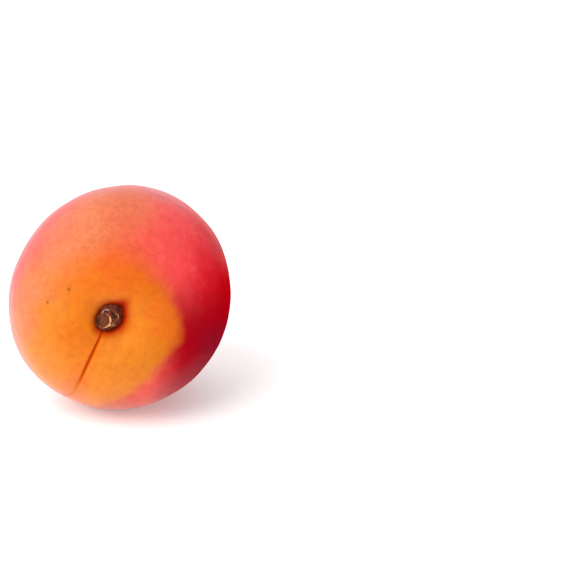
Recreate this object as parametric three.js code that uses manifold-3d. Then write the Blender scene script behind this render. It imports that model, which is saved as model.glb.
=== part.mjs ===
// A ripe apricot lying on its side, with the dry stub of its stalk in the cavity at the stem end.
//
// Millimetres, +Z up. The fruit rests on the small flat spot that its own weight has pressed, and the
// origin is under the middle of the fruit, level with that spot. The stem end faces the front, -Y.
//
// The skin is worked out in the fruit's own frame first: its centre is the origin there, +Z runs out
// through the stem cavity, and the suture, the crease from the stem to the tip, lies on the +X side.

import * as THREE from "three";
import { ParametricGeometry } from "three/addons/geometries/ParametricGeometry.js";
import { mergeVertices } from "three/addons/utils/BufferGeometryUtils.js";
import Module from "manifold-3d";

const { degToRad, lerp, smoothstep } = THREE.MathUtils;

// The whole fruit, before its dents
const RADIUS = 25; // mean radius round the middle
const HALF_LENGTH = 24.4; // centre to either end along the stem axis
const FULLNESS = 2.12; // 2 is an ellipse; more fills out the shoulders
const EGG = 0.03; // share by which the stem end is fuller than the tip end
const OVAL = 0.029; // share by which the middle is longer one way and shorter across
const OVAL_TURN = degToRad(168); // the long way, counted round from the suture
const THREE_SIDED = 0.005; // share by which three cheeks stand out round the middle
const THREE_SIDED_TURN = degToRad(78);

// The stem cavity: a wide dish with a steeper funnel in it, and a short notch at its back
const DISH_DEPTH = 2.9;
const DISH_REACH = 8.2;
const FUNNEL_DEPTH = 5.2;
const FUNNEL_REACH = 4.4;
const NOTCH_DEPTH = 0.8;
const NOTCH_TURN = degToRad(160); // which way it lies from the stem axis, counted round from the suture
const NOTCH_AT = 5; // from the stem axis
const NOTCH_HALF_LENGTH = 2.4;
const NOTCH_HALF_WIDTH = 1.2;

// The suture: a broad shallow valley with a narrow crease along it
const VALLEY_DEPTH = 0.3;
const VALLEY_HALF_WIDTH = 4.2;
const CREASE_DEPTH = 0.8;
const CREASE_HALF_WIDTH = 0.7;
const CREASE_LEFT = 0.45; // share of the crease's depth that is left past the middle of the fruit
const CREASE_FULL_AT = 17; // height along the stem axis above which the crease is at its full depth
const SUTURE_START = 2.2; // distance from the stem axis where the suture is at its full depth

// The blossom end: a shallow dimple with the small hard tip that the flower left
const DIMPLE_DEPTH = 0.55;
const DIMPLE_REACH = 5;
const TIP_HEIGHT = 1.1;
const TIP_REACH = 0.8;

// How the fruit lies
const STEM_PITCH = degToRad(6.6); // the stem end looks up this far from level
const SUTURE_ROLL = degToRad(-26); // the suture lies this far round from straight down
const FLAT_DEPTH = 0.6; // how far the flat spot is pressed in

// The stalk's stub: an oval woody button, dished where the stalk broke off
const STUB_HALF_LENGTH = 3.35;
const STUB_HALF_WIDTH = 2.5;
const STUB_TURN = degToRad(159); // its long way, counted round from the suture
const STUB_TOP = 20.3; // height of its rim along the stem axis
const SCAR_SHARE = 0.52; // of the way out to the stub's edge
const SCAR_DEPTH = 0.5;
const STUB_GAP = 0.7; // clearance between its underside and the flesh, straight out from the centre

// Fineness of the facets
const SKIN_AROUND = 70;
const SKIN_ALONG = 44;
const PACKED_AT_ENDS = 0.5; // 0 spaces the rings of facets evenly, 1 packs them at the two ends
const PACKED_AT_SUTURE = 0.62; // the same for the facets round the fruit
const STUB_AROUND = 28;
const STUB_ALONG = 18;
const MERGE_WITHIN = 1e-3;

const bell = (distance, reach) => Math.exp(-((distance / reach) ** 2));

// Distance from the centre to the skin of the whole fruit, at an angle from the stem axis and round
// from the suture.
function wholeDistance(polar, azimuth) {
  const sine = Math.sin(polar);
  const cosine = Math.cos(polar);
  const across = Math.abs(sine) ** FULLNESS;
  const along = Math.abs((cosine * RADIUS) / HALF_LENGTH) ** FULLNESS;
  const oval = OVAL * Math.cos(2 * (azimuth - OVAL_TURN));
  const cheeks = THREE_SIDED * Math.cos(3 * (azimuth - THREE_SIDED_TURN));
  const swelling = 1 + sine ** 2 * (oval + cheeks + EGG * cosine);
  return RADIUS * (across + along) ** (-1 / FULLNESS) * swelling;
}

// Depth of the suture below the whole fruit at x out from the stem axis, y to the side and z along.
function sutureDepth(x, y, z) {
  const started = smoothstep(x, 0, SUTURE_START);
  const share = lerp(CREASE_LEFT, 1, smoothstep(z, 0, CREASE_FULL_AT));
  const crease = CREASE_DEPTH * share * bell(y, CREASE_HALF_WIDTH);
  return started * (VALLEY_DEPTH * bell(y, VALLEY_HALF_WIDTH) + crease);
}

function stemCavityDepth(x, y) {
  const fromAxis = Math.hypot(x, y);
  const alongNotch = x * Math.cos(NOTCH_TURN) + y * Math.sin(NOTCH_TURN);
  const acrossNotch = y * Math.cos(NOTCH_TURN) - x * Math.sin(NOTCH_TURN);
  const notch = bell(alongNotch - NOTCH_AT, NOTCH_HALF_LENGTH) * bell(acrossNotch, NOTCH_HALF_WIDTH);
  const dish = DISH_DEPTH * bell(fromAxis, DISH_REACH);
  const funnel = FUNNEL_DEPTH * bell(fromAxis, FUNNEL_REACH);
  return dish + funnel + NOTCH_DEPTH * notch;
}

function blossomEndDepth(x, y) {
  const fromAxis = Math.hypot(x, y);
  return DIMPLE_DEPTH * bell(fromAxis, DIMPLE_REACH) - TIP_HEIGHT * bell(fromAxis, TIP_REACH);
}

// Distance from the centre to the real skin, with every dent in it.
function skinDistance(polar, azimuth) {
  const whole = wholeDistance(polar, azimuth);
  const x = whole * Math.sin(polar) * Math.cos(azimuth);
  const y = whole * Math.sin(polar) * Math.sin(azimuth);
  const z = whole * Math.cos(polar);
  const endDepth = z > 0 ? stemCavityDepth(x, y) : blossomEndDepth(x, y);
  return whole - endDepth - sutureDepth(x, y, z);
}

const polarAt = (v) => Math.PI * v - (PACKED_AT_ENDS / 2) * Math.sin(2 * Math.PI * v);
const azimuthAt = (u) => 2 * Math.PI * u - PACKED_AT_SUTURE * Math.sin(2 * Math.PI * u);

// three's spherical coordinates have their pole on +Y and start from +Z: this brings the pole to +Z
// and the start to +X.
const POLE_UP = new THREE.Matrix4().makeBasis(
  new THREE.Vector3(0, 1, 0),
  new THREE.Vector3(0, 0, 1),
  new THREE.Vector3(1, 0, 0),
);

function fruitSkin() {
  const skinPoint = (u, v, target) => {
    const polar = polarAt(v);
    const azimuth = azimuthAt(1 - u);
    target.setFromSphericalCoords(skinDistance(polar, azimuth), polar, azimuth);
  };
  return new ParametricGeometry(skinPoint, SKIN_AROUND, SKIN_ALONG).applyMatrix4(POLE_UP);
}

// Distance from the stem axis to the edge of the stub.
const stubReach = (azimuth) =>
  1 / Math.hypot(Math.cos(azimuth - STUB_TURN) / STUB_HALF_LENGTH, Math.sin(azimuth - STUB_TURN) / STUB_HALF_WIDTH);

// The stub's outline from the middle of its underside to the middle of its crown, as distance from the
// stem axis and height along it. The underside follows the cavity's funnel, and the crown is dished.
function stubOutline(azimuth) {
  const reach = stubReach(azimuth);
  const foot = Math.asin((0.88 * reach) / STUB_TOP);
  const underside = (polar) => {
    const whole = wholeDistance(polar, azimuth);
    const [x, y] = [Math.cos(azimuth), Math.sin(azimuth)].map((share) => whole * Math.sin(polar) * share);
    const distance = whole - stemCavityDepth(x, y) + STUB_GAP;
    return new THREE.Vector2(distance * Math.sin(polar), distance * Math.cos(polar));
  };
  return new THREE.SplineCurve([
    underside(0),
    underside(0.35 * foot),
    underside(0.7 * foot),
    underside(foot),
    new THREE.Vector2(0.98 * reach, STUB_TOP - 0.45),
    new THREE.Vector2(0.9 * reach, STUB_TOP - 0.1),
    new THREE.Vector2(0.72 * reach, STUB_TOP),
    new THREE.Vector2(SCAR_SHARE * reach, STUB_TOP - 0.4 * SCAR_DEPTH),
    new THREE.Vector2(0, STUB_TOP - SCAR_DEPTH),
  ]);
}

function stalkStub() {
  const stubPoint = (u, v, target) => {
    const azimuth = 2 * Math.PI * u;
    const { x: out, y: height } = stubOutline(azimuth).getPoint(v);
    target.set(out * Math.cos(azimuth), out * Math.sin(azimuth), height);
  };
  return new ParametricGeometry(stubPoint, STUB_AROUND, STUB_ALONG);
}

// From the fruit's own frame to how it lies: rolled about the stem axis, laid down with the stem end
// to the front and the suture below, then pitched up.
function lyingPose() {
  const roll = new THREE.Matrix4().makeRotationZ(SUTURE_ROLL);
  const laidDown = new THREE.Matrix4().makeBasis(
    new THREE.Vector3(0, 0, -1),
    new THREE.Vector3(1, 0, 0),
    new THREE.Vector3(0, -1, 0),
  );
  const pitch = new THREE.Matrix4().makeRotationX(-STEM_PITCH);
  return pitch.multiply(laidDown).multiply(roll);
}

const wasm = await Module();
wasm.setup();

function solidOf(geometry) {
  const bare = new THREE.BufferGeometry();
  bare.setAttribute("position", geometry.getAttribute("position"));
  bare.setIndex(geometry.index);
  const merged = mergeVertices(bare, MERGE_WITHIN);
  const mesh = new wasm.Mesh({
    numProp: 3,
    vertProperties: new Float32Array(merged.getAttribute("position").array),
    triVerts: new Uint32Array(merged.index.array),
  });
  return new wasm.Manifold(mesh);
}

function geometryOf(solid) {
  const mesh = solid.getMesh();
  const geometry = new THREE.BufferGeometry();
  geometry.setAttribute("position", new THREE.BufferAttribute(mesh.vertProperties, mesh.numProp));
  geometry.setIndex(new THREE.BufferAttribute(mesh.triVerts, 1));
  geometry.computeVertexNormals();
  return geometry;
}

// Cuts off what lies below the surface that the fruit rests on, which leaves the flat spot.
function pressedFlat(geometry) {
  const below = new THREE.BoxGeometry(4 * RADIUS, 4 * RADIUS, 2 * RADIUS).translate(0, 0, -RADIUS);
  return geometryOf(solidOf(geometry).subtract(solidOf(below)));
}

// Moves the lying fruit's middle over the origin and sinks it by the depth of the flat spot.
function settlingMove(skin) {
  skin.computeBoundingBox();
  const middle = skin.boundingBox.getCenter(new THREE.Vector3());
  return new THREE.Matrix4().makeTranslation(-middle.x, -middle.y, -skin.boundingBox.min.z - FLAT_DEPTH);
}

const skinMaterial = new THREE.MeshStandardMaterial({ color: 0xf58a3c, roughness: 0.62, metalness: 0 });
const stalkMaterial = new THREE.MeshStandardMaterial({ color: 0x6b4028, roughness: 0.8, metalness: 0 });

const lie = lyingPose();
const skin = fruitSkin().applyMatrix4(lie);
const settle = settlingMove(skin);

const fruit = new THREE.Mesh(pressedFlat(skin.applyMatrix4(settle)), skinMaterial);
fruit.name = "fruit";

const stubSolid = solidOf(stalkStub().applyMatrix4(lie).applyMatrix4(settle));
const stub = new THREE.Mesh(geometryOf(stubSolid), stalkMaterial);
stub.name = "stalk_stub";

const apricot = new THREE.Group();
apricot.add(fruit, stub);

export default apricot;
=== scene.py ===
"""A ripe apricot on a pale table, with a crimson blush on its sunny side, a fine down all over and the
dry stub of its stalk in the stem cavity.

Lengths are in millimetres while a surface is worked out, and in metres on the objects. The fruit's own
frame has its origin at the fruit's centre, +Z out through the stem cavity and the suture on the +X side.
"""

import math

import bpy
import numpy as np
from mathutils import Euler, Matrix, Vector


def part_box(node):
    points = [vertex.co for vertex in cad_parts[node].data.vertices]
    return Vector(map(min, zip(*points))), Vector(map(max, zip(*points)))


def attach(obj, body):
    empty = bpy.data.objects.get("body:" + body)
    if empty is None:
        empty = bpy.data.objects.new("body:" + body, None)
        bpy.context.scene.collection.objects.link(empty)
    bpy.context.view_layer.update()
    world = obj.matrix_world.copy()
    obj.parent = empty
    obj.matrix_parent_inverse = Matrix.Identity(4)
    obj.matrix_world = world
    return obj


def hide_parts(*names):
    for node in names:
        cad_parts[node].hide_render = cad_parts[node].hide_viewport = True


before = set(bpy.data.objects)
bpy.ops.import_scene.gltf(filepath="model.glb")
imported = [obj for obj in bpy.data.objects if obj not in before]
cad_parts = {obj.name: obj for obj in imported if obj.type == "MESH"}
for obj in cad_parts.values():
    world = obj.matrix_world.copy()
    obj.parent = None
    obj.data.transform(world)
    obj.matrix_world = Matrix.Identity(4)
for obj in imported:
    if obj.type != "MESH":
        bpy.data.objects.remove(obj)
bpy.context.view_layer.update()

MM = 0.001

# ---------------------------------------------------------------------------------------------------
# The fruit's shape: the same sizes as its solid, with the finer detail added
# ---------------------------------------------------------------------------------------------------

# The whole fruit, before its dents
RADIUS = 25.0  # mean radius round the middle
HALF_LENGTH = 24.4  # centre to either end along the stem axis
FULLNESS = 2.12  # 2 is an ellipse; more fills out the shoulders
EGG = 0.03  # share by which the stem end is fuller than the tip end
OVAL, OVAL_TURN = 0.029, math.radians(168)
THREE_SIDED, THREE_SIDED_TURN = 0.005, math.radians(78)

# The stem cavity: a wide dish, a funnel, a notch at its back, and a moat deepest on one side of the stub
DISH_DEPTH, DISH_REACH = 2.9, 8.2
FUNNEL_DEPTH, FUNNEL_REACH = 5.2, 4.4
NOTCH_DEPTH, NOTCH_TURN, NOTCH_AT = 0.8, math.radians(160), 5.0
NOTCH_HALF_LENGTH, NOTCH_HALF_WIDTH = 2.4, 1.2
MOAT_DEPTH, MOAT_AT, MOAT_REACH, MOAT_TURN = 0.6, 0.9, 0.9, math.radians(150)
# How far the staining round the stub reaches; it is darkened as painted shade of the cavity
STAIN_AND_SHADE_REACH, STAIN_AND_SHADE_MORE_ON_ONE_SIDE, STAIN_AND_SHADE_TURN = 2.8, 1.4, math.radians(108)
STAIN_AND_SHADE_PAST_NOTCH, STAIN_AND_SHADE_NOTCH_AT, STAIN_AND_SHADE_NOTCH_HALF_LENGTH, STAIN_AND_SHADE_NOTCH_HALF_WIDTH = 4.0, 6.0, 3.2, 1.5

# The suture: a broad valley, and a crease that is sharp near the stem and fades towards the underside
VALLEY_DEPTH, VALLEY_HALF_WIDTH = 0.3, 4.2
CREASE_DEPTH = 0.7
CREASE_STEEP_SIDE, CREASE_GENTLE_SIDE = 0.2, 0.5
CREASE_LEFT, CREASE_FADES_FROM, CREASE_FULL_AT = 0.16, 17.0, 23.3
CREASE_BOW, CREASE_BOW_AT, CREASE_BOW_REACH = 0.45, 18.0, 7.0
CREASE_LEAN, CREASE_LEAN_AT, CREASE_LEAN_REACH = 2.2, 8.0, 6.0
CREASE_LIP, CREASE_LIP_AT, CREASE_LIP_REACH = 0.08, -0.9, 0.7
SUTURE_START = 2.2

# The blossom end: a shallow dimple with the dry tip in it
DIMPLE_DEPTH, DIMPLE_REACH = 0.55, 5.0
TIP_HEIGHT, TIP_REACH = 1.1, 0.8

# How the fruit lies, and how far its own weight has pressed it flat
STEM_PITCH = math.radians(6.6)
SUTURE_ROLL = math.radians(-26)
FLAT_DEPTH, FLAT_SOFTNESS = 0.6, 0.1

# The stalk's stub
STUB_HALF_LENGTH, STUB_HALF_WIDTH, STUB_TURN = 3.35, 2.5, math.radians(159)
STUB_TOP, STUB_FOOT = 20.3, 17.1


def bell(distance, reach):
    return np.exp(-((distance / reach) ** 2))


def smooth(value, low, high):
    share = np.clip((value - low) / (high - low), 0, 1)
    return share * share * (3 - 2 * share)


def waves(points, length, height, seed, count=14):
    """A gentle unevenness: waves of about one length that cross each other in every direction."""
    random = np.random.default_rng(seed)
    total = np.zeros(points.shape[:-1])
    for _ in range(count):
        way = random.normal(size=3)
        way *= 2 * math.pi / length * random.uniform(0.7, 1.4) / np.linalg.norm(way)
        total += np.sin(points @ way + random.uniform(0, 2 * math.pi))
    return total * height / math.sqrt(count / 2)


def whole_distance(polar, azimuth):
    """Centre to skin before any dent, at an angle from the stem axis and round from the suture."""
    sine, cosine = np.sin(polar), np.cos(polar)
    across = np.abs(sine) ** FULLNESS
    along = np.abs(cosine * RADIUS / HALF_LENGTH) ** FULLNESS
    oval = OVAL * np.cos(2 * (azimuth - OVAL_TURN))
    cheeks = THREE_SIDED * np.cos(3 * (azimuth - THREE_SIDED_TURN))
    return RADIUS * (across + along) ** (-1 / FULLNESS) * (1 + sine**2 * (oval + cheeks + EGG * cosine))


def crease_profile(across):
    """Depth of the suture's crease from side to side: one lip is sharp and the other slopes in."""
    half_width = np.where(across < 0, CREASE_STEEP_SIDE, CREASE_GENTLE_SIDE)
    return bell(across, half_width)


def suture(x, y, z):
    """Depth of the suture, and how much of the crease there is, from 0 to 1."""
    started = smooth(x, 0, SUTURE_START)
    share = CREASE_LEFT + (1 - CREASE_LEFT) * smooth(z, CREASE_FADES_FROM, CREASE_FULL_AT)
    bow = CREASE_BOW * bell(z - CREASE_BOW_AT, CREASE_BOW_REACH)
    lean = CREASE_LEAN * bell(z - CREASE_LEAN_AT, CREASE_LEAN_REACH)
    bowed = y - bow + lean
    crease = started * share * crease_profile(bowed)
    lip = CREASE_LIP * started * bell(bowed - CREASE_LIP_AT, CREASE_LIP_REACH)
    return started * VALLEY_DEPTH * bell(y, VALLEY_HALF_WIDTH) + CREASE_DEPTH * crease - lip, crease


def stub_reach(turn):
    """Distance from the stem axis to the edge of the stub."""
    along, across = np.cos(turn - STUB_TURN), np.sin(turn - STUB_TURN)
    return 1 / np.hypot(along / STUB_HALF_LENGTH, across / STUB_HALF_WIDTH)


def stem_cavity(x, y):
    """Depth of the stem cavity, and how far a place lies in the red-brown staining and painted shade round
    the stub.
    """
    from_axis, turn = np.hypot(x, y), np.arctan2(y, x)
    depth = DISH_DEPTH * bell(from_axis, DISH_REACH) + FUNNEL_DEPTH * bell(from_axis, FUNNEL_REACH)
    past_stub = from_axis * (1 - depth / HALF_LENGTH) - stub_reach(turn)
    along_notch = from_axis * np.cos(turn - NOTCH_TURN)
    across_notch = from_axis * np.sin(turn - NOTCH_TURN)
    notch = bell(along_notch - NOTCH_AT, NOTCH_HALF_LENGTH) * bell(across_notch, NOTCH_HALF_WIDTH)
    moat = bell(past_stub - MOAT_AT, MOAT_REACH) * (0.2 + 0.8 * np.cos(turn - MOAT_TURN))
    folds = 0.08 * np.cos(7 * turn + 0.6) + 0.06 * np.cos(11 * turn + 2.1)
    depth += NOTCH_DEPTH * notch + MOAT_DEPTH * moat + folds * bell(past_stub - 1.3, 1.4)
    return depth, cavity_stain_and_shade(past_stub, turn, along_notch, across_notch)


def cavity_stain_and_shade(past_stub, turn, along_notch, across_notch):
    """How far a place is in the red-brown staining round the stub, which is darkened as painted shade of the
    cavity: widest on one side and past the notch.
    """
    side = np.cos(turn - STAIN_AND_SHADE_TURN)
    along = bell(along_notch - STAIN_AND_SHADE_NOTCH_AT, STAIN_AND_SHADE_NOTCH_HALF_LENGTH)
    past_notch = STAIN_AND_SHADE_PAST_NOTCH * along * bell(across_notch, STAIN_AND_SHADE_NOTCH_HALF_WIDTH)
    return 1 - smooth(past_stub, 0.35 * side - 0.3, STAIN_AND_SHADE_REACH + STAIN_AND_SHADE_MORE_ON_ONE_SIDE * side + past_notch)


def blossom_end(x, y):
    from_axis = np.hypot(x, y)
    return DIMPLE_DEPTH * bell(from_axis, DIMPLE_REACH) - TIP_HEIGHT * bell(from_axis, TIP_REACH)


def skin_surface(polar, azimuth):
    """Points on the skin in the fruit's own frame, with how creased and how hollow each place is."""
    whole = whole_distance(polar, azimuth)
    way = np.stack([np.sin(polar) * np.cos(azimuth), np.sin(polar) * np.sin(azimuth), np.cos(polar)], -1)
    x, y, z = np.moveaxis(way * whole[..., None], -1, 0)
    cavity_depth, hollow = stem_cavity(x, y)
    suture_depth, crease = suture(x, y, z)
    end_depth = np.where(z > 0, cavity_depth, blossom_end(x, y))
    uneven = waves(way * RADIUS, 13, 0.05, seed=3) + waves(way * RADIUS, 4.5, 0.012, seed=4)
    distance = whole - end_depth - suture_depth + uneven
    return way * distance[..., None], crease, np.where(z > 0, hollow, 0)


def lying_pose():
    """Turns the fruit's own frame to how it lies: stem end to the front, suture below, pitched up."""
    roll = Matrix.Rotation(SUTURE_ROLL, 3, "Z")
    laid_down = Matrix(((0, 1, 0), (0, 0, -1), (-1, 0, 0)))
    pitch = Matrix.Rotation(-STEM_PITCH, 3, "X")
    return pitch @ laid_down @ roll


LIE = lying_pose()
LIE_ROWS = np.array(LIE)

# The fruit's front is a little to the right of -Y and above it: the ways to it, to its right and its top
FRONT_BEARING, FRONT_RISE = math.radians(8.3), math.radians(20.0)
TO_RIGHT = Vector((math.cos(FRONT_BEARING), math.sin(FRONT_BEARING), 0))
LEVEL_FRONT = Vector((math.sin(FRONT_BEARING), -math.cos(FRONT_BEARING), 0))
TO_FRONT = math.cos(FRONT_RISE) * LEVEL_FRONT + Vector((0, 0, math.sin(FRONT_RISE)))
TO_TOP = TO_FRONT.cross(TO_RIGHT)


def facing(right, up):
    """The way, in the fruit's own frame, to a place on its front, in radii right of the middle and up."""
    front = math.sqrt(max(0, 1 - right**2 - up**2))
    return tuple(LIE.transposed() @ (right * TO_RIGHT + up * TO_TOP + front * TO_FRONT))


# ---------------------------------------------------------------------------------------------------
# Meshes
# ---------------------------------------------------------------------------------------------------


def mesh_object(name, points, faces, marks):
    """An object from points in metres, with one number per point stored under each mark's name."""
    mesh = bpy.data.meshes.new(name)
    mesh.from_pydata(points.tolist(), [], faces)
    for mark, values in marks.items():
        layer = mesh.attributes.new(mark, "FLOAT", "POINT")
        layer.data.foreach_set("value", np.asarray(values, np.float32))
    mesh.polygons.foreach_set("use_smooth", [True] * len(mesh.polygons))
    mesh.update()
    piece = bpy.data.objects.new(name, mesh)
    bpy.context.scene.collection.objects.link(piece)
    return piece


def ring_faces(rings, around):
    """Faces of a closed skin: a first point, rings of points, and a last point."""
    faces = []
    last = 1 + rings * around
    for k in range(around):
        after = (k + 1) % around
        faces.append((0, 1 + k, 1 + after))
        faces.append((last, last - around + after, last - around + k))
        for ring in range(rings - 1):
            here, below = 1 + ring * around, 1 + (ring + 1) * around
            faces.append((here + k, below + k, below + after, here + after))
    return faces


def settle(points):
    """Lays the fruit down: turned, its middle over the solid's, and sunk to its flat spot."""
    low, high = (np.array(corner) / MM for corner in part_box("fruit"))
    lying = points @ LIE_ROWS.T
    lowest, highest = lying.min(0), lying.max(0)
    move = (low + high) / 2 - (lowest + highest) / 2
    move[2] = low[2] - FLAT_DEPTH - lowest[2]
    lying += move
    pressed = FLAT_SOFTNESS * np.logaddexp(0, (lying[:, 2] - low[2]) / FLAT_SOFTNESS)
    lying[:, 2] = low[2] + pressed
    return lying, move


AROUND, ALONG = 400, 236
CROWDED_AT_ENDS = 0.28
CROWDED_AT_SUTURE = 0.66


def build_fruit():
    """The skin: rings from the stem end to the tip, closer together at both, with columns crowded
    towards the suture so that its crease is sharp."""
    rings = np.arange(1, ALONG) / ALONG
    polar = math.pi * rings - CROWDED_AT_ENDS * np.sin(2 * math.pi * rings)
    turns = np.arange(AROUND) / AROUND
    azimuth = 2 * math.pi * turns - CROWDED_AT_SUTURE * np.sin(2 * math.pi * turns)
    grid_polar, grid_azimuth = np.meshgrid(polar, azimuth, indexing="ij")
    polar = np.concatenate([[0], grid_polar.ravel(), [math.pi]])
    azimuth = np.concatenate([[0], grid_azimuth.ravel(), [0]])
    points, crease, hollow = skin_surface(polar, azimuth)
    lying, move = settle(points)
    marks = {"crease": crease, "hollow": hollow}
    piece = mesh_object("apricot_skin", lying * MM, ring_faces(ALONG - 1, AROUND), marks)
    return piece, Vector(move * MM)


fruit, fruit_centre = build_fruit()


# The stub's crown is worked out flat. Its right is this far round from the suture, and its top, a quarter
# turn further, is uppermost as the fruit lies.
CROWN_RIGHT_TURN = math.atan2(0.888, -0.46)
CROWN_RIGHT = np.array([-0.46, 0.888])
CROWN_UP = np.array([-0.888, -0.46])
STUB_RINGS_ON_CROWN, STUB_RINGS_DOWN, STUB_AROUND = 72, 22, 170

# Ovals on the crown, each with its middle and its half sizes to the right and up
SCAR_AT, SCAR_SIZE = (-0.9, -0.55), (1.28, 1.5)
PIT_AT, PIT_SIZE = (1.72, 0.35), (0.5, 0.66)
TORN_AT, TORN_SIZE = (0.75, -1.55), (1.25, 0.75)

# Where the crown's edge stands out, or is broken away: degrees round from its right, width, share
EDGE_CHANGES = [(228, 0.24, 0.07), (166, 0.5, -0.14), (143, 0.35, -0.09), (275, 0.35, -0.05)]
CROWN_LEVEL = 0.25  # how far the flat of the crown is below the stub's top
CROWN_EDGE_DROP = 0.6


def oval_distance(right, up, middle, size):
    """1 on the edge of an oval, 0 at its middle."""
    return np.hypot((right - middle[0]) / size[0], (up - middle[1]) / size[1])


def ridge(right, up, start, end, thickness):
    """A straight ridge from one place to another, 1 along its top."""
    start, end = np.array(start), np.array(end)
    run = end - start
    along = np.clip(((right - start[0]) * run[0] + (up - start[1]) * run[1]) / (run @ run), 0, 1)
    return bell(np.hypot(right - start[0] - along * run[0], up - start[1] - along * run[1]), thickness)


def crown_relief(right, up):
    """Height of the stub's crown, with how far each place is scar floor, pale edge and the ridge with a
    painted glint.
    """
    flat = np.stack([right, up, 0 * up], -1)
    wobble = waves(flat, 2.2, 0.07, seed=21)
    patchy = 0.85 + waves(flat, 0.8, 0.2, seed=22)
    rough = waves(flat, 1.0, 0.05, seed=11) + waves(flat, 0.42, 0.03, seed=12)

    # The scar where the stalk broke off: a dish with a rim that is thickest on its right, and a crack
    scar = oval_distance(right, up, SCAR_AT, SCAR_SIZE) + wobble
    round_scar = np.arctan2(up - SCAR_AT[1], right - SCAR_AT[0])
    rim_thickness = 0.09 + 0.13 * smooth(np.cos(round_scar + 0.35), 0.35, 0.95)
    rim_height = 0.5 + 0.5 * smooth(np.cos(round_scar + 0.2), -0.2, 0.7)
    scar_rim = rim_height * bell(scar - 1.08, rim_thickness)
    scar_dish = 1 - smooth(scar, 0.7, 1.0)
    crack = bell(scar - 0.84, 0.1) * smooth(np.cos(round_scar - 0.5), 0.2, 0.9)

    # A smaller, deeper pit beside it
    pit = oval_distance(right, up, PIT_AT, PIT_SIZE) + wobble
    round_pit = np.arctan2(up - PIT_AT[1], right - PIT_AT[0])
    pit_rim = (0.55 + 0.45 * np.cos(round_pit - 0.7)) * bell(pit - 1.05, 0.2)
    pit_dish = 1 - smooth(pit, 0.3, 1.0)

    # Torn tissue below, a ridge above with a pale lilac glint painted on it, and the lumps, splits and loose
    # flake round the edge
    torn = 1 - smooth(oval_distance(right, up, TORN_AT, TORN_SIZE) + 2 * wobble, 0.55, 1.05)
    silver = patchy * ridge(right, up - 2 * wobble, (-1.15, 1.45), (-0.2, 1.85), 0.2)
    silver = np.maximum(silver, patchy * ridge(right, up, (-0.2, 1.85), (0.6, 1.95), 0.14))
    lumps = 0.34 * bell(np.hypot(right - 1.7, up - 1.7), 0.6)
    lumps += 0.3 * bell(np.hypot(right - 0.5, up - 1.3), 0.45)
    splits = ridge(right, up, (0.1, 2.6), (1.0, 0.9), 0.13)
    splits += ridge(right, up, (0.9, 0.9), (2.6, 1.3), 0.12)
    flake = ridge(right, up, (-2.65, -0.2), (-2.5, -1.9), 0.22)
    groove = ridge(right, up, (-2.32, -0.1), (-2.15, -1.8), 0.1)

    raised = 0.26 * scar_rim + 0.2 * pit_rim + 0.24 * silver + 0.3 * flake + 0.1 * torn + lumps
    sunk = 0.3 * scar_dish + 0.5 * pit_dish + 0.28 * crack + 0.3 * splits + 0.3 * groove
    floors = np.maximum(1 - smooth(scar, 0.75, 0.95), 1 - smooth(pit, 0.5, 0.9))
    pale = np.maximum(patchy * np.maximum(scar_rim, 0.75 * pit_rim), 0.42 * torn)
    return raised - sunk + rough, floors, pale, silver


def crown_edge(turns):
    """Distance from the middle of the crown to its ragged edge."""
    ragged = 1 + 0.02 * np.cos(3 * turns + 1.0) + 0.022 * np.cos(5 * turns + 2.2) + 0.012 * np.cos(13 * turns)
    for degrees, width, share in EDGE_CHANGES:
        ragged += share * bell(turns - math.radians(degrees), width)
    return stub_reach(turns + CROWN_RIGHT_TURN) * ragged


def stub_crown(turns):
    """The crown's points, in rings from its middle to its edge, and its marks."""
    edge = crown_edge(turns)
    shares = (np.arange(1, STUB_RINGS_ON_CROWN + 1) / STUB_RINGS_ON_CROWN) ** 0.8
    rings = [np.zeros((1, 2))]
    for share in shares:
        rings.append(np.stack([edge * share * np.cos(turns), edge * share * np.sin(turns)], -1))
    flat = np.concatenate(rings)
    relief, floor, pale, silver = crown_relief(flat[:, 0], flat[:, 1])
    reach = np.concatenate([[0], np.repeat(shares, STUB_AROUND)])
    drop = CROWN_EDGE_DROP * smooth(reach, 0.72, 1.06) ** 1.5
    height = STUB_TOP - CROWN_LEVEL + relief * (1 - smooth(reach, 0.9, 1.01)) - drop
    return np.concatenate([flat, height[:, None]], 1), {"floor": floor, "pale": pale, "silver": silver}


def stub_side(edge_ring, turns):
    """Rings from the crown's edge down to the foot: the side bulges, then narrows into the flesh."""
    rings = []
    for down in np.arange(1, STUB_RINGS_DOWN + 1) / STUB_RINGS_DOWN:
        width = 1 + 0.1 * math.sin(math.pi * min(1, 1.6 * down)) - 0.42 * smooth(down, 0.45, 1.0)
        folds = 1 + 0.02 * np.cos(9 * turns + 3 * down) * (1 - down)
        ring = edge_ring.copy()
        ring[:, :2] *= (width * folds)[:, None]
        ring[:, 2] = edge_ring[:, 2] * (1 - down) + STUB_FOOT * down
        rings.append(ring)
    return np.concatenate(rings)


def build_stub():
    turns = 2 * math.pi * np.arange(STUB_AROUND) / STUB_AROUND
    crown, crown_marks = stub_crown(turns)
    side = stub_side(crown[-STUB_AROUND:], turns)
    foot = np.array([[0, 0, STUB_FOOT - 0.1]])
    points = np.concatenate([crown, side, foot])
    own = np.empty_like(points)
    own[:, :2] = points[:, :1] * CROWN_RIGHT + points[:, 1:2] * CROWN_UP
    own[:, 2] = points[:, 2]
    lying = own @ LIE_ROWS.T * MM + np.array(fruit_centre)
    unmarked = np.zeros(len(side) + len(foot))
    marks = {mark: np.concatenate([values, unmarked]) for mark, values in crown_marks.items()}
    faces = ring_faces(STUB_RINGS_ON_CROWN + STUB_RINGS_DOWN, STUB_AROUND)
    return mesh_object("stalk_stub_bark", lying, faces, marks)


stub = build_stub()


# ---------------------------------------------------------------------------------------------------
# Materials
# ---------------------------------------------------------------------------------------------------


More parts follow.
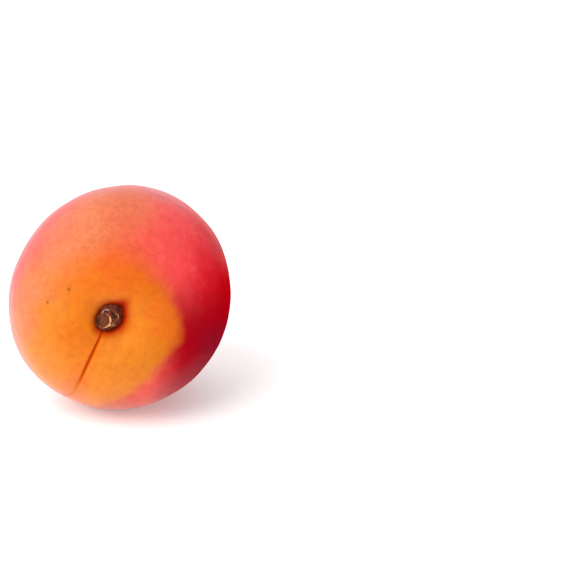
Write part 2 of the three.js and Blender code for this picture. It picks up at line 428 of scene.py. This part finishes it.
class Value:
    """One output in a material, with Python's arithmetic."""

    def __init__(self, finish, socket):
        self.finish = finish
        self.socket = socket

    def _worked_out(self, operation, first, second):
        return self.finish.node("ShaderNodeMath", {"operation": operation}, {0: first, 1: second})

    def __add__(self, other):
        return self._worked_out("ADD", self, other)

    def __radd__(self, other):
        return self._worked_out("ADD", other, self)

    def __sub__(self, other):
        return self._worked_out("SUBTRACT", self, other)

    def __rsub__(self, other):
        return self._worked_out("SUBTRACT", other, self)

    def __mul__(self, other):
        return self._worked_out("MULTIPLY", self, other)

    def __rmul__(self, other):
        return self._worked_out("MULTIPLY", other, self)


class Finish:
    """A material under construction."""

    def __init__(self, name):
        self.material = bpy.data.materials.new(name)
        self.material.use_nodes = True
        self.tree = self.material.node_tree
        self.tree.nodes.clear()

    def node(self, kind, settings, sockets, output=0):
        """Adds a node: its settings first, then the value or link of each socket, and gives one output."""
        made = self.tree.nodes.new(kind)
        for setting, value in settings.items():
            if setting == "stops":
                self._set_stops(made.color_ramp, value)
            else:
                setattr(made, setting, value)
        for socket, value in sockets.items():
            if isinstance(value, Value):
                self.tree.links.new(value.socket, made.inputs[socket])
            else:
                made.inputs[socket].default_value = value
        return Value(self, made.outputs[output]) if made.outputs else made

    def _set_stops(self, ramp, stops):
        while len(ramp.elements) < len(stops):
            ramp.elements.new(0.5)
        for element, (place, tint) in zip(ramp.elements, stops):
            element.position = place
            element.color = (*tint, 1)

    def mark(self, name):
        """A number stored on the mesh's points."""
        return self.node("ShaderNodeAttribute", {"attribute_name": name}, {}, "Fac")

    def step(self, value, low, high):
        """0 at low, 1 at high, held outside them and smooth between."""
        settings = {"interpolation_type": "SMOOTHSTEP"}
        return self.node("ShaderNodeMapRange", settings, {"Value": value, "From Min": low, "From Max": high})

    def noise(self, place, scale, detail=3.0, roughness=0.5, distortion=0.0):
        """Cloudy noise with its middle at 0.5; scale is in clouds per millimetre."""
        sockets = {"Vector": place, "Scale": scale, "Detail": detail}
        sockets |= {"Roughness": roughness, "Distortion": distortion}
        return self.node("ShaderNodeTexNoise", {}, sockets, "Fac")

    def cells(self, place, scale, output):
        """A random pattern of cells: the distance from each one's middle, or a colour for each."""
        return self.node("ShaderNodeTexVoronoi", {"feature": "F1"}, {"Vector": place, "Scale": scale}, output)

    def mix(self, share, first, second, blend="MIX"):
        """A colour part way from the first to the second."""
        settings = {"data_type": "RGBA", "blend_type": blend, "clamp_factor": True}
        return self.node("ShaderNodeMix", settings, {0: share, 6: first, 7: second}, 2)

    def ramp(self, value, stops):
        """A colour that changes along a value from 0 to 1."""
        return self.node("ShaderNodeValToRGB", {"stops": stops}, {"Fac": value})

    def toward(self, way, direction):
        """How far a unit vector points in a direction: 1 with it, -1 against it."""
        sockets = {0: way, 1: direction}
        return self.node("ShaderNodeVectorMath", {"operation": "DOT_PRODUCT"}, sockets, "Value")

    def away(self, way, direction):
        """Distance between two places on the fruit, each given by the way to it, in millimetres."""
        sockets = {0: way, 1: direction}
        return self.node("ShaderNodeVectorMath", {"operation": "DISTANCE"}, sockets, "Value") * RADIUS

    def bump(self, height, strength, distance):
        """A surface normal from a height, whose full range stands for a distance in metres."""
        sockets = {"Height": height, "Strength": strength, "Distance": distance}
        return self.node("ShaderNodeBump", {}, sockets)


def colour(red, green, blue):
    return (red, green, blue, 1)


def own_place(finish):
    """Where a point lies in the fruit's own frame, in millimetres."""
    place = finish.node("ShaderNodeTexCoord", {}, {}, "Object")
    turned_back = LIE.transposed()
    sockets = {
        "Vector": place,
        "Location": -(turned_back @ fruit_centre) / MM,
        "Rotation": turned_back.to_euler(),
        "Scale": (1 / MM,) * 3,
    }
    return finish.node("ShaderNodeMapping", {"vector_type": "POINT"}, sockets)


# Ways from the fruit's centre that the skin's colours go by
SUNNY_SIDE = facing(1, 0)
SKY_SIDE = facing(0, 1)
FRONT = facing(0, 0)
SHADED_CAP, SHADED_CAP_EDGE = facing(-0.30, -0.36), 0.65
BACK = tuple(Vector((-0.05, -0.62, -0.78)).normalized())
BLOSSOM_TIP = (0.0, 0.0, -1.0)
SUTURE_SIDE, ACROSS_SUTURE = (1.0, 0.0, 0.0), (0.0, 1.0, 0.0)

# The ground colour from the underside up, and the blush from the far cheek to the sunny one
GROUND = [
    (0.12, (0.68, 0.200, 0.013)),
    (0.28, (0.60, 0.170, 0.010)),
    (0.44, (0.59, 0.155, 0.006)),
    (0.55, (0.61, 0.118, 0.003)),
    (0.66, (0.62, 0.100, 0.006)),
]
BLUSH = [
    (0.03, (0.56, 0.075, 0.060)),
    (0.22, (0.56, 0.118, 0.060)),
    (0.40, (0.60, 0.110, 0.040)),
    (0.52, (0.65, 0.086, 0.042)),
    (0.66, (0.77, 0.082, 0.064)),
    (0.79, (0.86, 0.060, 0.068)),
    (0.87, (0.78, 0.014, 0.026)),
    (0.97, (0.62, 0.001, 0.004)),
]
# Crimson low on the sunny side, partly a real blush and partly painted shade; where it turns under it is
# darker again as painted shade
DEEP_BLUSH_AND_SHADE = colour(0.37, 0.0, 0.006)
UNDER_BLUSH_IN_PAINTED_SHADE = colour(0.22, 0.006, 0.018)
SHOULDER_BLUSH = colour(0.60, 0.040, 0.055)

# Patches of other colours, some of them painted sheen, painted shade or painted light: where, how wide
# (cosines of the edge and of the middle), how much, colour.
# The first list lies under the blush, the second over it.
GROUND_PATCHES = [
    (facing(-0.58, 0.04), 0.93, 0.995, 0.6, colour(0.60, 0.190, 0.024)),
    (facing(0.22, -0.43), 0.945, 0.998, 0.5, colour(0.66, 0.180, 0.004)),
    (facing(-0.78, -0.42), 0.90, 0.990, 0.5, colour(0.64, 0.190, 0.020)),
    (facing(-0.36, -0.33), 0.95, 0.995, 0.5, colour(0.64, 0.130, 0.003)),
    # Painted light: a brighter orange on the cavity's left slope, standing in for light shining through the
    # flesh where the slope is turned from the window
    (facing(-0.30, -0.14), 0.955, 0.999, 0.6, colour(0.78, 0.200, 0.004)),
    (facing(0.46, -0.20), 0.945, 0.998, 0.6, colour(0.72, 0.130, 0.012)),
]
PATCHES_OVER_BLUSH = [
    # Painted sheen: a paler peach where the down's haze catches the window light on the upper left
    (facing(-0.66, 0.32), 0.90, 0.990, 0.6, colour(0.57, 0.170, 0.070)),
    # Painted sheen: the same paler haze on the top
    (facing(-0.12, 0.78), 0.85, 0.980, 0.5, colour(0.60, 0.172, 0.065)),
    (facing(-0.65, 0.62), 0.90, 0.990, 0.6, colour(0.62, 0.060, 0.050)),
    # Painted sheen: the down's pale haze along the left rim
    (facing(-0.88, -0.10), 0.93, 0.990, 0.6, colour(0.60, 0.160, 0.080)),
    # Painted shade: a dark, dull patch on the lower rim of the sunny side
    (facing(0.56, -0.78), 0.91, 0.996, 0.5, colour(0.22, 0.045, 0.060)),
    # Painted sheen: more of the down's pale haze on the upper left
    (facing(-0.42, 0.53), 0.91, 0.990, 0.45, colour(0.60, 0.190, 0.080)),
    (facing(-0.38, 0.13), 0.955, 0.998, 0.6, colour(0.62, 0.135, 0.004)),
    # Partly painted light: the orange over the back is made brighter to lift its shaded side
    (BACK, 0.45, 0.930, 0.7, colour(0.74, 0.215, 0.030)),
]
RUB_MARKS = [(facing(-0.46, 0.08), 0.42), (facing(-0.64, -0.03), 0.36)]
SPECK_CELLS, SPECK_SIZE = 0.4, 0.13


class SkinPlace:
    """What the skin's colours go by at each place: where it is, and the noises that break them up."""

    def __init__(self, skin):
        self.place = own_place(skin)
        self.way = skin.node("ShaderNodeVectorMath", {"operation": "NORMALIZE"}, {0: self.place})
        self.crease, self.hollow = skin.mark("crease"), skin.mark("hollow")
        self.clouds = skin.noise(self.place, 0.085, 3.0, 0.55) - 0.5
        self.blotches = skin.noise(self.place, 0.33, 4.0, 0.6, 0.4) - 0.5
        self.grain = skin.noise(self.place, 2.2, 3.0, 0.6) - 0.5
        self.sunny = skin.toward(self.way, SUNNY_SIDE)
        self.skyward = skin.toward(self.way, SKY_SIDE)
        self.low = self._deep_crimson_and_shade(skin)

    def _deep_crimson_and_shade(self, skin):
        """How far a place is in the deep crimson of the sunny side's lower half: partly a real blush and
        partly painted shade, more of it towards the bottom.
        """
        lower = skin.step(self.skyward + 0.3 * self.clouds, 0.3, -0.3)
        sunlit = skin.step(self.sunny + 0.15 * self.blotches, 0.14, 0.56)
        return lower * sunlit * (0.7 + 0.3 * skin.step(self.skyward, -0.9, -0.6))


def patch(skin, at, under, patches):
    """Lays soft patches over a colour."""
    for patch_way, outside, middle, share, tint in patches:
        nearness = skin.toward(at.way, patch_way) + 0.06 * at.clouds + 0.03 * at.blotches
        under = skin.mix(share * skin.step(nearness, outside, middle), under, tint)
    return under


def blush_share(skin, at):
    """How far the blush covers the ground: all of the skin but a cap round the stem and the underside."""
    border = skin.toward(at.way, SHADED_CAP) + 0.16 * at.clouds + 0.05 * at.blotches
    softness = 0.06 + 0.09 * skin.step(at.skyward, -0.1, 0.5)
    edge = SHADED_CAP_EDGE + 0.02 * skin.step(at.sunny, -0.1, 0.3)
    edge = edge + 0.13 * skin.step(at.skyward, -0.25, -0.75) * skin.step(at.sunny, -0.3, 0.2)
    return skin.step(border, edge + softness, edge - softness)


def blush_colour(skin, at):
    """The blush: peach on the far cheek, red on the sunny one, crimson low on it, darkened there as painted
    shade and darker still as it turns under.
    """
    blush = skin.ramp(0.5 * (at.sunny + 0.3 * at.clouds + 0.25 * at.blotches) + 0.5, BLUSH)
    turned_under = skin.step(at.sunny, 0.5, 0.85) * skin.step(at.skyward, -0.1, -0.5)
    deep = skin.mix(0.95 * at.low, blush, skin.mix(turned_under, DEEP_BLUSH_AND_SHADE, UNDER_BLUSH_IN_PAINTED_SHADE))
    from_front = skin.toward(at.way, FRONT) + 0.12 * at.clouds + 0.1 * at.blotches
    shoulder = skin.step(from_front, 0.58, 0.30) * skin.step(at.skyward, -0.3, 0.2)
    return skin.mix(0.8 * shoulder * skin.step(at.sunny, 0.8, 0.4), deep, SHOULDER_BLUSH)


def mottle(skin, at, under, covered):
    """Fine mottling all over, and broken red strands on the upper skin."""
    mottling = skin.step(skin.noise(at.place, 0.6, 6.0, 0.66, 0.4), 0.3, 0.7)
    mottled = skin.mix(0.15 + 0.03 * covered - 0.1 * at.low, under, mottling, "SOFT_LIGHT")
    strand = skin.noise(at.place, 0.75, 2.0, 0.5, 0.7) - 0.5
    broken = skin.step(skin.noise(at.place, 1.1, 1.0, 0.5), 0.54, 0.66)
    upper = 0.15 + 0.85 * skin.step(at.skyward, -0.2, 0.3)
    strands = skin.step(strand * strand, 0.0006, 0.0001) * broken * upper
    return skin.mix(0.26 * strands, mottled, colour(0.36, 0.020, 0.016))


def redden(skin, at, under, covered):
    """A redder band along the suture; the staining round the stub with painted shade over it and a painted
    shadow next to the stub; and the crease, painted a darker red as shade.
    """
    off_suture = skin.toward(at.way, ACROSS_SUTURE)
    on_suture_side = skin.step(skin.toward(at.way, SUTURE_SIDE), 0.25, 0.6)
    near_suture = skin.step(off_suture * off_suture, 0.02, 0.0) * on_suture_side
    banded = skin.mix(0.45 * near_suture * (1 - covered), under, colour(0.60, 0.105, 0.010))
    # Partly red-brown staining, partly painted shade of the cavity: a darker tint outside, a deeper red one
    # near the stub
    stain_and_shade_tint = skin.mix(skin.step(at.hollow, 0.25, 0.85), colour(0.44, 0.075, 0.001), colour(0.38, 0.004, 0.0))
    reddened = skin.mix(at.hollow * (0.96 + 0.2 * at.blotches), banded, stain_and_shade_tint)
    # Painted shadow: a near-black red line right next to the stub
    shadow_painted_at_stub = skin.mix(skin.step(at.hollow, 0.75, 1.0) * 0.6, reddened, colour(0.14, 0.002, 0.0))
    # Painted shade: a darker red along the crease
    return skin.mix(skin.step(at.crease, 0.05, 0.85) * 0.8, shadow_painted_at_stub, colour(0.58, 0.050, 0.0))


def brown_marks(skin, at):
    """Where there are small brown marks: scattered specks on the upper skin, and two rub marks."""
    chance = skin.node("ShaderNodeSeparateColor", {}, {0: skin.cells(at.place, SPECK_CELLS, "Color")})
    from_middle = skin.cells(at.place, SPECK_CELLS, "Distance")
    specks = skin.step(from_middle, SPECK_SIZE, 0.35 * SPECK_SIZE) * skin.step(chance, 0.6, 0.64)
    marks = 0.5 * specks * skin.step(at.skyward + 0.6 * at.clouds, -0.1, 0.4)
    for mark_way, size in RUB_MARKS:
        from_mark = skin.away(at.way, mark_way) + 0.5 * at.grain
        marks = marks + 0.75 * skin.step(from_mark, 1.5 * size, 0.4 * size)
    return marks


def dry_tip(skin, at, under):
    """The blossom end: a tan ring round the dry dark tip."""
    from_tip = skin.away(at.way, BLOSSOM_TIP)
    tan_share = 0.45 * skin.step(from_tip + 1.5 * at.blotches, 4.2, 1.2)
    tanned = skin.mix(tan_share, under, colour(0.62, 0.22, 0.05))
    return skin.mix(skin.step(from_tip + 0.3 * at.grain, 1.15, 0.7), tanned, colour(0.10, 0.035, 0.015))


def sheen_left_off(skin, at):
    """Where the down's sheen is left off, so that these places look shaded (painted shade): in the cavity,
    along the crease, on the sunny side and most of all low on it.
    """
    in_cavity = skin.step(at.hollow + 0.12 * at.blotches, -0.1, 1.1)
    in_crease = skin.step(at.crease, 0.02, 0.3)
    on_sunny_side = 0.6 * skin.step(at.sunny, 0.2, 0.8)
    sunny_and_low = skin.step(at.sunny, 0.5, 0.85) * skin.step(at.skyward, 0.5, 0.1)
    downy = (1 - in_cavity) * (1 - in_crease) * (1 - on_sunny_side) * (1 - at.low) * (1 - sunny_and_low)
    return 1 - downy


def skin_finish():
    skin = Finish("apricot_skin")
    at = SkinPlace(skin)
    covered = blush_share(skin, at)
    ground = skin.ramp(0.5 * (at.skyward + 0.25 * at.clouds + 0.12 * at.blotches) + 0.5, GROUND)
    ground = patch(skin, at, ground, GROUND_PATCHES)
    blushed = patch(skin, at, skin.mix(covered, ground, blush_colour(skin, at)), PATCHES_OVER_BLUSH)
    reddened = redden(skin, at, mottle(skin, at, blushed, covered), covered)
    marks = brown_marks(skin, at)
    marked = skin.mix(marks, reddened, colour(0.22, 0.05, 0.012))
    fine = skin.noise(at.place, 5.5, 4.0, 0.65)
    relief = 0.35 * at.grain + 0.5 * fine + 0.4 * at.blotches - 0.5 * marks
    shared = {
        "Base Color": dry_tip(skin, at, marked),
        "Roughness": 0.5 + 0.16 * at.blotches + 0.1 * at.grain,
        "Normal": skin.bump(relief, 0.35, 0.00012),
        "IOR": 1.4,
        "Specular IOR Level": 0.12,
        "Subsurface Weight": 0.25,
        "Subsurface Radius": (1.0, 0.3, 0.1),
        "Subsurface Scale": 0.0015,
    }
    down = {"Sheen Weight": 0.6, "Sheen Roughness": 0.38, "Sheen Tint": colour(1.0, 0.84, 0.84)}
    downy = skin.node("ShaderNodeBsdfPrincipled", {}, shared | down)
    bare = skin.node("ShaderNodeBsdfPrincipled", {}, shared | {"Specular IOR Level": 0.0})
    # Painted shade: the down's sheen is left off in the cavity, along the crease and on the sunny side
    both = skin.node("ShaderNodeMixShader", {}, {0: sheen_left_off(skin, at), 1: downy, 2: bare})
    skin.node("ShaderNodeOutputMaterial", {}, {"Surface": both})
    return skin.material


def bark_finish():
    bark = Finish("stalk_bark")
    place = own_place(bark)
    floor, pale, silver = bark.mark("floor"), bark.mark("pale"), bark.mark("silver")
    clouds = bark.noise(place, 0.9, 4.0, 0.6) - 0.5
    fibres = bark.noise(place, 4.0, 4.0, 0.7, 0.6) - 0.5
    dark, brown = colour(0.045, 0.007, 0.003), colour(0.20, 0.042, 0.012)
    dark_floor, light_floor = colour(0.13, 0.030, 0.010), colour(0.21, 0.058, 0.022)
    wood = bark.mix(bark.step(clouds + 0.6 * fibres, -0.2, 0.22), dark, brown)
    scar_floor = bark.mix(bark.step(fibres, -0.15, 0.2), dark_floor, light_floor)
    floored = bark.mix(floor * 0.9, wood, scar_floor)
    edged = bark.mix(bark.step(pale + 0.45 * fibres, 0.25, 0.75), floored, colour(0.68, 0.33, 0.13))
    # Painted highlight: a pale lilac glint along the ridge at the top of the crown
    painted_glint_share = bark.step(silver + 0.6 * fibres, 0.45, 0.85) * 0.8
    sockets = {
        "Base Color": bark.mix(painted_glint_share, edged, colour(0.55, 0.33, 0.31)),
        "Roughness": 0.72 + 0.3 * fibres,
        "Normal": bark.bump(fibres + 0.6 * clouds, 0.7, 0.00025),
        "Specular IOR Level": 0.2,
    }
    shader = bark.node("ShaderNodeBsdfPrincipled", {}, sockets)
    bark.node("ShaderNodeOutputMaterial", {}, {"Surface": shader})
    return bark.material


def table_finish():
    """White, and glowing a little of itself as painted light, so that shadows on it stay pale."""
    table = Finish("pale_table")
    sockets = {
        "Base Color": colour(0.86, 0.86, 0.86),
        "Roughness": 0.9,
        "Specular IOR Level": 0.1,
        "Emission Color": colour(1.0, 1.0, 1.0),
        "Emission Strength": 0.26,
    }
    shader = table.node("ShaderNodeBsdfPrincipled", {}, sockets)
    table.node("ShaderNodeOutputMaterial", {}, {"Surface": shader})
    return table.material


fruit.data.materials.append(skin_finish())
stub.data.materials.append(bark_finish())
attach(fruit, "root")
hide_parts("fruit")
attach(stub, "root")
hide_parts("stalk_stub")


# ---------------------------------------------------------------------------------------------------
# Table, light and camera
# ---------------------------------------------------------------------------------------------------

TABLE_REACH = 6.0
TABLE_GAP = 0.00002

table_corners = np.array([[-1, -1, 0], [1, -1, 0], [1, 1, 0], [-1, 1, 0]]) * TABLE_REACH
table_corners[:, 2] = -TABLE_GAP
table = mesh_object("table", table_corners, [(0, 1, 2, 3)], {})
table.data.materials.append(table_finish())


def soft_light(name, away, distance, size, power, tint):
    """A square of light that faces the fruit."""
    light = bpy.data.lights.new(name, "AREA")
    light.size = size
    light.energy = power
    light.color = tint
    lamp = bpy.data.objects.new(name, light)
    lamp.location = fruit_centre + Vector(away).normalized() * distance
    lamp.rotation_euler = Vector(away).to_track_quat("Z", "Y").to_euler()
    bpy.context.scene.collection.objects.link(lamp)


soft_light("window", (-0.5, -0.62, 0.75), distance=0.9, size=0.7, power=6.2, tint=(1.0, 0.99, 0.98))

ROOM_LIGHT, ROOM_LIGHT_ON_RIGHT = 1.1, 0.3
ROOM_DIMS_TOWARD = (0.96, -0.2, -0.2)


def pale_room():
    """A white room that is dimmer on its right, away from the window."""
    room = bpy.data.worlds.new("pale_room")
    room.use_nodes = True
    nodes, links = room.node_tree.nodes, room.node_tree.links
    way = nodes.new("ShaderNodeTexCoord")
    to_right = nodes.new("ShaderNodeVectorMath")
    to_right.operation = "DOT_PRODUCT"
    to_right.inputs[1].default_value = ROOM_DIMS_TOWARD
    dimming = nodes.new("ShaderNodeMapRange")
    dimming.interpolation_type = "SMOOTHSTEP"
    dimming.inputs["From Min"].default_value = -0.1
    dimming.inputs["From Max"].default_value = 0.75
    dimming.inputs["To Min"].default_value = ROOM_LIGHT
    dimming.inputs["To Max"].default_value = ROOM_LIGHT_ON_RIGHT
    links.new(way.outputs["Generated"], to_right.inputs[0])
    links.new(to_right.outputs["Value"], dimming.inputs["Value"])
    links.new(dimming.outputs["Result"], nodes["Background"].inputs["Strength"])
    nodes["Background"].inputs["Color"].default_value = colour(1, 1, 1)
    return room


bpy.context.scene.world = pale_room()
bpy.context.scene.view_settings.view_transform = "Standard"

# The camera looks at the fruit's front, and a little past its middle
CAMERA_DISTANCE = 0.5513
AIM_TURN, AIM_RISE = math.radians(4.010), math.radians(19.960)

lens = bpy.data.cameras.new("camera")
lens.sensor_width = 36
lens.lens = 150.0
lens.clip_start, lens.clip_end = 0.01, 50
camera = bpy.data.objects.new("camera", lens)
camera.location = fruit_centre + CAMERA_DISTANCE * TO_FRONT
camera.rotation_euler = Euler((math.pi / 2 - AIM_RISE, 0, AIM_TURN))
bpy.context.scene.collection.objects.link(camera)
bpy.context.scene.camera = camera
